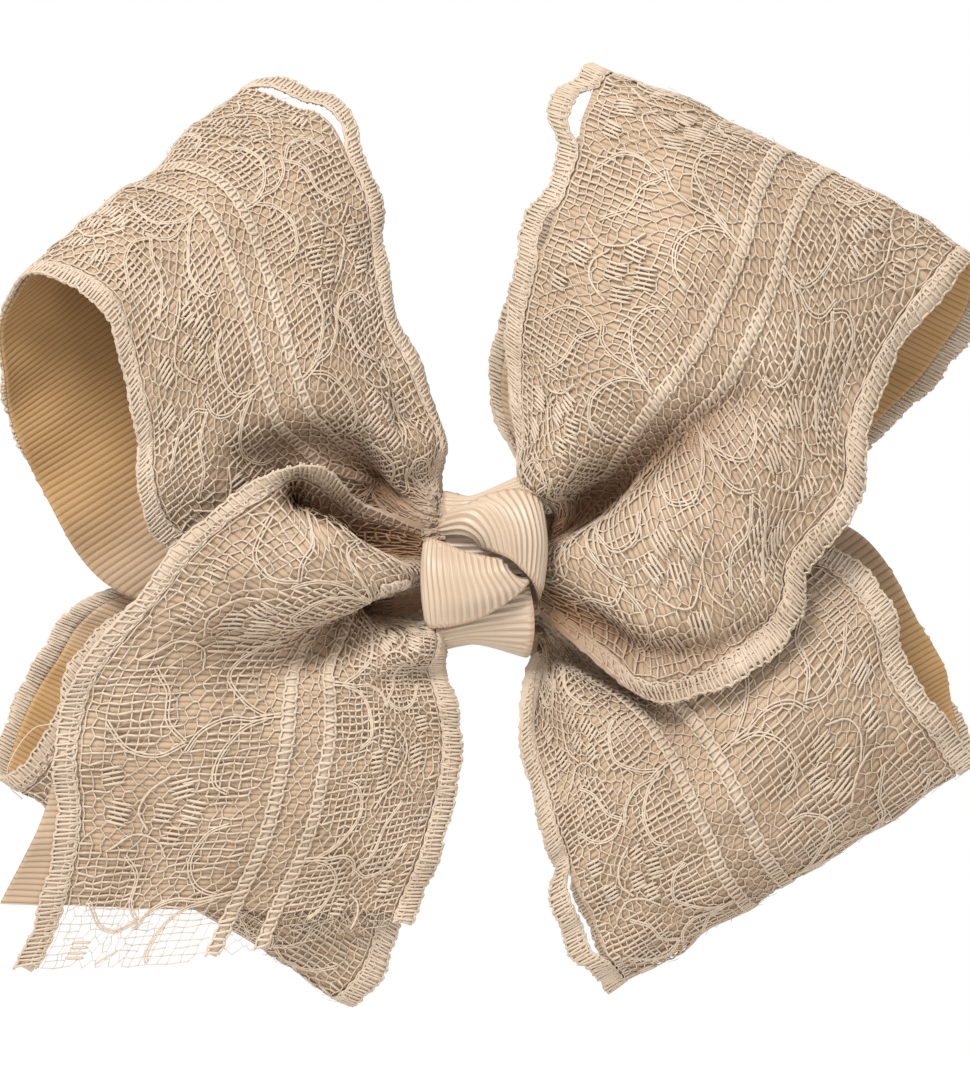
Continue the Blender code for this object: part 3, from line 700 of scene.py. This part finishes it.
# Stations along each pass of the strip, each a row of (x, out, z) across it
UPPER_BAND = [
    [(-7.0, 22.0, 5.0), (-3.6, 24.0, 5.0), (-1.6, 23.6, 4.4), (-0.6, 22.8, 3.1)],
    [(-6.8, 23.4, 6.1), (-3.1, 26.0, 6.7), (-0.7, 26.2, 5.2), (0.6, 24.6, 2.8)],
    [(-6.0, 24.0, 8.0), (-1.6, 27.0, 8.7), (1.0, 27.6, 6.1), (2.2, 26.2, 2.3)],
    [(-2.8, 24.0, 9.6), (1.0, 27.4, 9.0), (3.0, 28.2, 5.8), (3.8, 27.0, 1.5)],
    [(1.0, 23.8, 11.2), (3.6, 27.2, 8.7), (4.9, 27.9, 5.2), (5.2, 26.6, 0.2)],
    [(4.8, 23.0, 11.8), (6.3, 26.0, 8.4), (7.0, 26.6, 4.4), (6.7, 25.6, -1.4)],
    [(7.4, 21.4, 10.9), (8.1, 24.0, 7.3), (8.4, 24.6, 3.2), (7.7, 23.8, -3.2)],
    [(7.7, 20.0, 10.2), (8.4, 21.8, 6.7), (8.7, 22.4, 2.6), (7.9, 21.6, -4.3)],
    [(7.0, 18.6, 9.8), (7.6, 19.8, 6.4), (7.8, 20.2, 2.2), (7.2, 19.6, -4.4)],
]
LOWER_BAND = [
    [(-7.4, 18.6, 4.4), (-7.8, 19.4, 0.0), (-7.8, 19.6, -4.4), (-7.2, 18.8, -8.0)],
    [(-8.6, 20.2, 4.7), (-8.9, 21.6, 0.3), (-8.8, 22.0, -4.4), (-8.1, 21.0, -8.1)],
    [(-8.0, 22.6, 4.8), (-8.3, 24.6, 0.6), (-8.0, 25.0, -4.1), (-7.6, 23.4, -8.3)],
    [(-6.2, 24.6, 4.2), (-6.0, 27.0, 0.3), (-5.4, 27.2, -4.1), (-5.1, 25.0, -8.0)],
    [(-3.9, 25.8, 3.2), (-3.3, 28.0, -0.3), (-2.5, 28.0, -4.1), (-2.2, 25.8, -7.4)],
    [(-1.6, 26.2, 2.5), (-1.0, 28.2, -0.6), (0.1, 28.2, -3.5), (0.4, 26.2, -6.3)],
    [(0.6, 26.2, 2.0), (1.0, 27.8, -0.3), (2.5, 27.6, -2.8), (2.9, 26.2, -4.8)],
    [(2.3, 25.4, 1.7), (2.8, 26.8, 0.0), (4.2, 26.6, -1.7), (5.1, 25.6, -3.1)],
    [(3.3, 24.0, 0.3), (3.9, 25.0, -0.9), (5.1, 25.0, -1.5), (6.4, 24.6, -1.5)],
    [(3.6, 22.8, -0.3), (4.5, 23.4, -1.0), (5.4, 23.4, -1.2), (6.4, 23.0, -1.0)],
]
WRAP = [
    [(-6.0, 21.8, -2.0), (-0.1, 22.4, -1.0), (6.0, 21.8, -1.0)],
    [(-6.2, 22.4, -6.4), (-0.1, 23.8, -4.4), (6.6, 23.0, -3.2)],
    [(-7.6, 22.2, -8.6), (-0.7, 24.4, -6.9), (7.0, 23.6, -5.8)],
    [(-8.1, 21.2, -10.2), (-1.3, 23.4, -8.9), (7.1, 22.6, -8.8)],
    [(-8.2, 19.4, -11.8), (-1.9, 20.8, -10.3), (6.7, 20.2, -11.7)],
    [(-7.8, 15.5, -12.1), (-1.5, 16.5, -10.6), (6.2, 16.0, -12.7)],
    [(-6.8, 9.5, -11.2), (0.0, 9.5, -10.4), (6.6, 9.5, -11.6)],
    [(-6.8, 4.2, -8.8), (0.0, 4.0, -8.4), (6.8, 4.2, -8.8)],
    [(-6.8, 0.7, -5.3), (0.0, 0.6, -5.1), (6.8, 0.7, -5.3)],
    [(-6.8, 0.0, -3.6), (0.0, 0.0, -3.6), (6.8, 0.0, -3.6)],
    [(-6.8, 0.0, 0.0), (0.0, 0.0, 0.0), (6.8, 0.0, 0.0)],
    [(-6.8, 0.0, 3.6), (0.0, 0.0, 3.6), (6.8, 0.0, 3.6)],
    [(-6.8, 0.7, 5.3), (0.0, 0.6, 5.1), (6.8, 0.7, 5.3)],
    [(-6.8, 4.2, 8.8), (0.0, 4.0, 8.4), (6.8, 4.2, 8.8)],
    [(-6.8, 9.5, 11.2), (0.0, 9.5, 10.3), (6.6, 9.5, 12.2)],
    [(-6.2, 16.0, 11.2), (-1.5, 17.4, 10.7), (5.4, 16.4, 13.8)],
    [(-6.0, 19.6, 10.6), (-1.8, 21.0, 10.4), (6.4, 20.2, 12.8)],
    [(-5.9, 21.6, 8.8), (-1.3, 23.2, 9.2), (6.3, 22.6, 11.3)],
    [(-5.7, 22.4, 6.7), (-0.7, 24.0, 7.3), (5.7, 23.4, 9.3)],
    [(-5.7, 22.0, 3.0), (-0.5, 23.0, 3.0), (5.7, 22.4, 4.0)],
    [(-5.8, 21.8, -1.0), (-0.1, 22.2, -0.5), (5.8, 21.8, -0.6)],
]


def strip_pass(name, stations, height):
    """One pass of the narrow ribbon: ribbed across, with beaded selvages."""
    net = np.array([[(x, -out, z) for x, out, z in row] for row in stations])
    fine = np.linspace(0, 1, 1200)
    middle = catmull(net.mean(axis=1), fine)
    run = distance_along(middle)
    length = run[-1]
    ribs = round(length / STRIP_RIB)
    s = np.linspace(0, length, ribs * 8 + 1)
    w = np.concatenate([[0, 0.012, 0.03, 0.05], np.linspace(0.075, 0.925, 34), [0.95, 0.97, 0.988, 1]])
    along = catmull(net, np.interp(s, run, fine))
    face = np.swapaxes(catmull(np.swapaxes(along, 0, 1), w), 0, 1)
    normals = unit(np.cross(np.gradient(face, axis=0), np.gradient(face, axis=1)))
    foremost = int(fine[np.argmin(middle[:, 1])] * (len(s) - 1))
    if normals[foremost, len(w) // 2, 1] > 0:
        normals = -normals
    grid_s, grid_w = np.meshgrid(s, w, indexing="ij")
    edge = np.minimum(grid_w, 1 - grid_w)
    cloth = smooth(edge, 0.035, 0.075)
    bead = (1 - cloth) * (0.1 + 0.1 * np.cos(grid_s * 2 * math.pi / 0.8)) * smooth(edge, 0.0, 0.02)
    place = (grid_s * ribs / length) % 1 - 0.5
    relief = height * np.exp(-(place / 0.23) ** 2) * cloth + bead
    relief = relief + 0.05 * waves(grid_s, grid_w * STRIP_WIDTH, 5, 6)
    thin = STRIP_THICKNESS * (0.35 + 0.65 * smooth(edge, 0.0, 0.015))
    outer = face + normals * relief[..., None]
    inner = face - normals * (thin + 0.5 * rib(grid_s, length / ribs, height) * cloth)[..., None]
    # the map counts the strip's ribs as RIB_PITCH apart, for the material's painted valley shade to fall
    # between them
    uv = np.stack([grid_s * RIB_PITCH * ribs / length, grid_w * STRIP_WIDTH], axis=-1).reshape(-1, 2)
    piece = closed_sheet(name, outer, inner, uv)
    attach(piece, "bow")
    return piece, (STRIP_WIDTH * MM, length * MM)


AXIS = np.array([0, -11.9, 0])      # a point on the gathers' axis, which runs along X
GATHERS_END = 10.4                  # x at either end of the gathers


def round_middle(x, angle, clearance):
    """Points round the gathers: a spindle that is fullest under the knot; angle 0 is the front."""
    taper = smooth(abs(x), 3.0, GATHERS_END)
    out = (7.6 - 6.2 * taper + clearance) * np.cos(angle)
    z = (9.2 - 7.4 * taper + clearance) * np.sin(angle)
    return np.stack([x, -out, z], axis=-1) + AXIS


def gathers():
    """The pinched middle: pleats that run along X and draw together at both ends."""
    x = np.linspace(-GATHERS_END, GATHERS_END, 67)
    angle = np.linspace(0, 2 * math.pi, 241)[:-1]
    grid_x, grid_angle = np.meshgrid(x, angle, indexing="ij")
    wide = 0.42 * np.sin(grid_angle * 19 + 0.4 * np.sin(grid_x * 0.7))
    narrow = 0.25 * np.sin(grid_angle * 31 + grid_x * 0.3)
    pleats = (wide + narrow) * (1 - 0.8 * smooth(abs(grid_x), 3.0, GATHERS_END))
    points = round_middle(grid_x, grid_angle, pleats)
    rows, columns = grid_x.shape
    index = np.arange(rows * columns).reshape(rows, columns)
    turned = np.roll(index, -1, 1)
    quads = [np.stack([index[:-1], turned[:-1], turned[1:], index[1:]], axis=-1).reshape(-1, 4)]
    # each end closes with a small fan of quads
    for ring, turn in ((index[0], -1), (index[-1], 1)):
        fan = [(ring[i], ring[i + 1], ring[columns - 2 - i], ring[columns - 1 - i])[::turn]
               for i in range(columns // 2 - 1)]
        quads.append(np.array(fan))
    piece = make_mesh("gathers", points.reshape(-1, 3), np.concatenate(quads))
    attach(piece, "bow")
    return piece


def gathered_threads():
    """The lace's threads drawn together over the gathers."""
    rng = np.random.default_rng(77)
    x = np.linspace(-10.2, 10.2, 42)
    paths = []
    for angle in np.linspace(0, 2 * math.pi, 110)[:-1]:
        wander = angle + 0.05 * np.sin(x * rng.uniform(0.4, 1.1) + rng.uniform(0, 6.3))
        over = (0.6 + 0.25 * np.sin(x * 2 + angle * 9)) * (1 - 2.3 * smooth(abs(x), 8.6, 10.2))
        paths.append(round_middle(x, wander, over))
    paths = np.array(paths)
    piece = make_mesh("gathered_lace", *tubes(paths, (paths - AXIS) * (0, 1, 1), 0.2))
    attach(piece, "bow")
    return piece


def sewing_thread():
    """Turns of thread wound tight round the gathers, under the strip."""
    turns, steps = 5, 48
    share = np.arange(turns * steps + 1) / steps
    path = round_middle((share / turns - 0.5) * 3.4, share * 2 * math.pi + math.pi, 0.9)
    piece = make_mesh("sewing_thread", *tubes(path[None], (path - AXIS)[None], 0.3))
    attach(piece, "bow")
    return piece


# --- Clip spring ---

PIVOT = (13.0, 2.4)         # x and y of the clip's pin
SPRING_RADIUS, SPRING_WIRE, SPRING_TURNS = 1.75, 0.3, 3.5


def clip_spring():
    """The torsion spring round the pin, with a leg along each arm."""
    steps = int(SPRING_TURNS * 28)
    share = np.linspace(0, 1, steps + 1)
    angle = -math.pi / 2 - 2 * math.pi * SPRING_TURNS * share
    reach = (2 * SPRING_WIRE + 0.05) * SPRING_TURNS
    coil = np.stack([PIVOT[0] + SPRING_RADIUS * np.cos(angle), PIVOT[1] + SPRING_RADIUS * np.sin(angle),
                     reach * (share - 0.5)], axis=1)
    bow_leg = np.array([(26, -0.15, coil[0, 2]), (18, 0.3, coil[0, 2])])
    head_leg = np.array([(15.5, 4.2, coil[-1, 2]), (17.5, 4.5, coil[-1, 2]), (26, 7.8, coil[-1, 2])])
    path = np.concatenate([bow_leg, coil, head_leg])
    outward = (path - (*PIVOT, 0)) * (1, 1, 0)
    outward[:2] = outward[-3:] = (0, 1, 0)
    piece = make_mesh("spring_wire", *tubes(path[None], outward[None], SPRING_WIRE))
    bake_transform(piece)
    return piece


# --- Materials ---

def new_material(name, settings):
    """A material with its shader's sockets set; and its nodes, its links and the shader."""
    made = bpy.data.materials.new(name)
    made.use_nodes = True
    shader = made.node_tree.nodes["Principled BSDF"]
    for socket, value in settings.items():
        shader.inputs[socket].default_value = value
    return made, made.node_tree.nodes, made.node_tree.links, shader


def noise(nodes, links, scale, detail=3.0):
    """A noise factor that is fixed to the object."""
    place = nodes.new("ShaderNodeTexCoord")
    made = nodes.new("ShaderNodeTexNoise")
    made.inputs["Scale"].default_value = scale
    made.inputs["Detail"].default_value = detail
    links.new(place.outputs["Object"], made.inputs["Vector"])
    return made.outputs["Fac"]


def cloth_material(name, low, high, roughness, sheen, shine, fuzz_scale, bump_mm):
    """Woven cloth: a colour that wanders between two, soft sheen, and fine fuzz as bump."""
    made, nodes, links, shader = new_material(name, {
        "Roughness": roughness, "Sheen Weight": sheen, "Sheen Roughness": 0.4, "Specular IOR Level": shine})
    ramp = nodes.new("ShaderNodeValToRGB")
    for stop, position, colour in zip(ramp.color_ramp.elements, (0.3, 0.7), (low, high)):
        stop.position = position
        stop.color = (*colour, 1)
    links.new(noise(nodes, links, 90.0), ramp.inputs["Fac"])
    links.new(ramp.outputs["Color"], shader.inputs["Base Color"])
    bump = nodes.new("ShaderNodeBump")
    bump.inputs["Distance"].default_value = bump_mm * MM
    bump.inputs["Strength"].default_value = 0.6
    links.new(noise(nodes, links, fuzz_scale, 2.0), bump.inputs["Height"])
    links.new(bump.outputs["Normal"], shader.inputs["Normal"])
    return made


def add_colour(made, factor, colour, blend="MIX"):
    """Mixes a colour over a material's own by a factor socket."""
    nodes, links = made.node_tree.nodes, made.node_tree.links
    base = nodes["Principled BSDF"].inputs["Base Color"]
    mix = nodes.new("ShaderNodeMix")
    mix.data_type = "RGBA"
    mix.blend_type = blend
    own = base.links[0].from_socket
    links.new(factor, mix.inputs[0])
    links.new(own, mix.inputs[6])
    mix.inputs[7].default_value = (*colour, 1)
    links.new(mix.outputs[2], base)


def stored(made, name):
    """A factor stored per point of a mesh."""
    node = made.node_tree.nodes.new("ShaderNodeAttribute")
    node.attribute_name = name
    return node.outputs["Fac"]


def from_flat(made, axis, steps):
    """A factor worked out from one flat coordinate, by steps of (operation, number)."""
    nodes, links = made.node_tree.nodes, made.node_tree.links
    flat = nodes.new("ShaderNodeUVMap")
    flat.uv_map = "flat"
    split = nodes.new("ShaderNodeSeparateXYZ")
    links.new(flat.outputs["UV"], split.inputs["Vector"])
    value = split.outputs[axis]
    for operation, number in steps:
        step = nodes.new("ShaderNodeMath")
        step.operation = operation
        links.new(value, step.inputs[0])
        if number is not None:
            step.inputs[1].default_value = number
        value = step.outputs["Value"]
    return value


def valleys(made, most):
    """Painted shade in the narrow valleys between the ribs."""
    return from_flat(made, "X", [("DIVIDE", RIB_PITCH), ("FRACT", None), ("SUBTRACT", 0.5),
                                 ("ABSOLUTE", None), ("MULTIPLY", 2.0), ("POWER", 4.0), ("MULTIPLY", most)])


def selvages(made, half, most):
    """The beaded selvages, from 0.75 to 0.2 mm inside each edge."""
    return from_flat(made, "Y", [("SUBTRACT", half), ("ABSOLUTE", None), ("SUBTRACT", half - 0.75),
                                 ("DIVIDE", 0.55), ("MINIMUM", 1.0), ("MAXIMUM", 0.0), ("MULTIPLY", most)])


def metal(name, colour, roughness):
    """Polished metal with faint wear in its roughness."""
    made, nodes, links, shader = new_material(name, {"Base Color": (*colour, 1), "Metallic": 1.0})
    wear = nodes.new("ShaderNodeMapRange")
    wear.inputs["To Min"].default_value = roughness * 0.8
    wear.inputs["To Max"].default_value = roughness * 1.25
    links.new(noise(nodes, links, 300.0), wear.inputs["Value"])
    links.new(wear.outputs["Result"], shader.inputs["Roughness"])
    return made


# Painted light and shade: the inner face gets a painted warm glow of light caught between the layers, and the
# creases and rib valleys get painted shade
GROSGRAIN = cloth_material("grosgrain_weave", (0.39, 0.28, 0.185), (0.46, 0.34, 0.235), 0.62, 0.05, 0.25,
                           2600.0, 0.05)
# painted warm glow of light caught between the layers, on the inner face
add_colour(GROSGRAIN, stored(GROSGRAIN, "inner_face_painted_light"), (0.42, 0.25, 0.105))
# painted shade in the valleys between the ribs
add_colour(GROSGRAIN, valleys(GROSGRAIN, 0.75), (0.16, 0.085, 0.04))
# painted warm shade in the creases
add_colour(GROSGRAIN, stored(GROSGRAIN, "crease_painted_shade"), (0.42, 0.28, 0.18), "MULTIPLY")
LACE = cloth_material("lace_thread", (0.48, 0.375, 0.275), (0.57, 0.46, 0.355), 0.85, 0.06, 0.2, 4000.0, 0.05)
# painted warm shade in the lace's creases
add_colour(LACE, stored(LACE, "crease_painted_shade"), (0.5, 0.36, 0.26), "MULTIPLY")
STRIP_RIBBON = cloth_material("strip_weave", (0.5, 0.385, 0.275), (0.55, 0.43, 0.32), 0.42, 0.1, 0.5,
                              2600.0, 0.03)
# painted shade in the valleys between the strip's ribs
add_colour(STRIP_RIBBON, valleys(STRIP_RIBBON, 0.6), (0.24, 0.14, 0.08))
add_colour(STRIP_RIBBON, selvages(STRIP_RIBBON, STRIP_WIDTH / 2, 0.7), (0.38, 0.225, 0.14))
THREAD_COTTON = cloth_material("thread_cotton", (0.62, 0.5, 0.36), (0.7, 0.58, 0.43), 0.8, 0.3, 0.5,
                               5000.0, 0.05)
STEEL = metal("nickel_plate", (0.42, 0.42, 0.42), 0.24)
SPRING_STEEL = metal("spring_steel", (0.33, 0.33, 0.33), 0.32)
GLUE = new_material("hot_glue", {"Base Color": (0.82, 0.79, 0.70, 1), "Roughness": 0.35,
                                 "Subsurface Weight": 0.3, "Subsurface Radius": (0.002, 0.002, 0.001)})[0]


# --- Camera, light and floor ---

FRAME_SPAN = 141.1          # what the frame's width spans at the bow, in millimetres
FRAME_ASPECT = 1067 / 970
KEY_PLACE, KEY_POWER = (-0.35, -0.75, 0.65), 11.0
VIEW_CENTRE = Vector((0.0, -0.016, 0.0053))


def set_camera():
    data = bpy.data.cameras.new("camera")
    data.sensor_width = 36.0
    data.lens = 120.0
    # the frame is taller than wide, so the sensor's 36 mm are its height
    distance = FRAME_SPAN * MM * FRAME_ASPECT * data.lens / data.sensor_width
    camera = bpy.data.objects.new("camera", data)
    camera.location = VIEW_CENTRE + Vector((0, -distance, 0))
    camera.rotation_euler = (math.pi / 2, 0, 0)
    bpy.context.scene.collection.objects.link(camera)
    bpy.context.scene.camera = camera


def set_stage():
    bpy.ops.mesh.primitive_cylinder_add(vertices=96, radius=0.26, depth=0.004, location=(0, 0, -0.112))
    floor = bpy.context.object
    floor.name = "floor"
    paint = new_material("floor_paint", {"Base Color": (0.86, 0.85, 0.83, 1), "Roughness": 0.9})[0]
    floor.data.materials.append(paint)
    world = bpy.data.worlds.new("studio")
    world.use_nodes = True
    world.node_tree.nodes["Background"].inputs["Color"].default_value = (1, 1, 1, 1)
    world.node_tree.nodes["Background"].inputs["Strength"].default_value = 1.0
    bpy.context.scene.world = world
    key = bpy.data.lights.new("key", "AREA")
    key.size = 0.35
    key.energy = KEY_POWER
    light = bpy.data.objects.new("key", key)
    light.location = KEY_PLACE
    light.rotation_euler = (-Vector(KEY_PLACE)).to_track_quat("-Z", "Y").to_euler()
    bpy.context.scene.collection.objects.link(light)
    bpy.context.scene.view_settings.view_transform = "Standard"


# --- The bow ---

set_camera()
set_stage()
SHEETS = {name: Sheet(name, 11 * (i + 1)) for i, name in enumerate(RIBBONS)}
for name, sheet in SHEETS.items():
    piece = grosgrain(f"grosgrain_{name}", sheet, "bow")
    piece.data.materials.append(GROSGRAIN)
    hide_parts(f"ribbon_{name}")
    lace, lace_points, lace_quads = Lace(name, 101 + len(name)).build()
    lace.data.materials.append(LACE)
    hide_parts(f"lace_{name}")

bands = [strip_pass("upper_band", UPPER_BAND, 0.36), strip_pass("lower_band", LOWER_BAND, 0.36),
         strip_pass("wrap", WRAP, 0.2)]
for piece, flat in bands:
    piece.data.materials.append(STRIP_RIBBON)
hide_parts("knot_strip")
middle = gathers()
middle.data.materials.append(GROSGRAIN)
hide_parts("gathered_middle")
gathered_threads().data.materials.append(LACE)
winding = sewing_thread()
winding.data.materials.append(THREAD_COTTON)
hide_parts("gathering_thread")
wire = clip_spring()
wire.data.materials.append(SPRING_STEEL)
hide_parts("clip_spring")
for node, finish in (("glue_pad", GLUE), ("clip_bow_arm", STEEL), ("clip_head_arm", STEEL),
                     ("clip_pin", STEEL)):
    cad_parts[node].data.materials.clear()
    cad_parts[node].data.materials.append(finish)
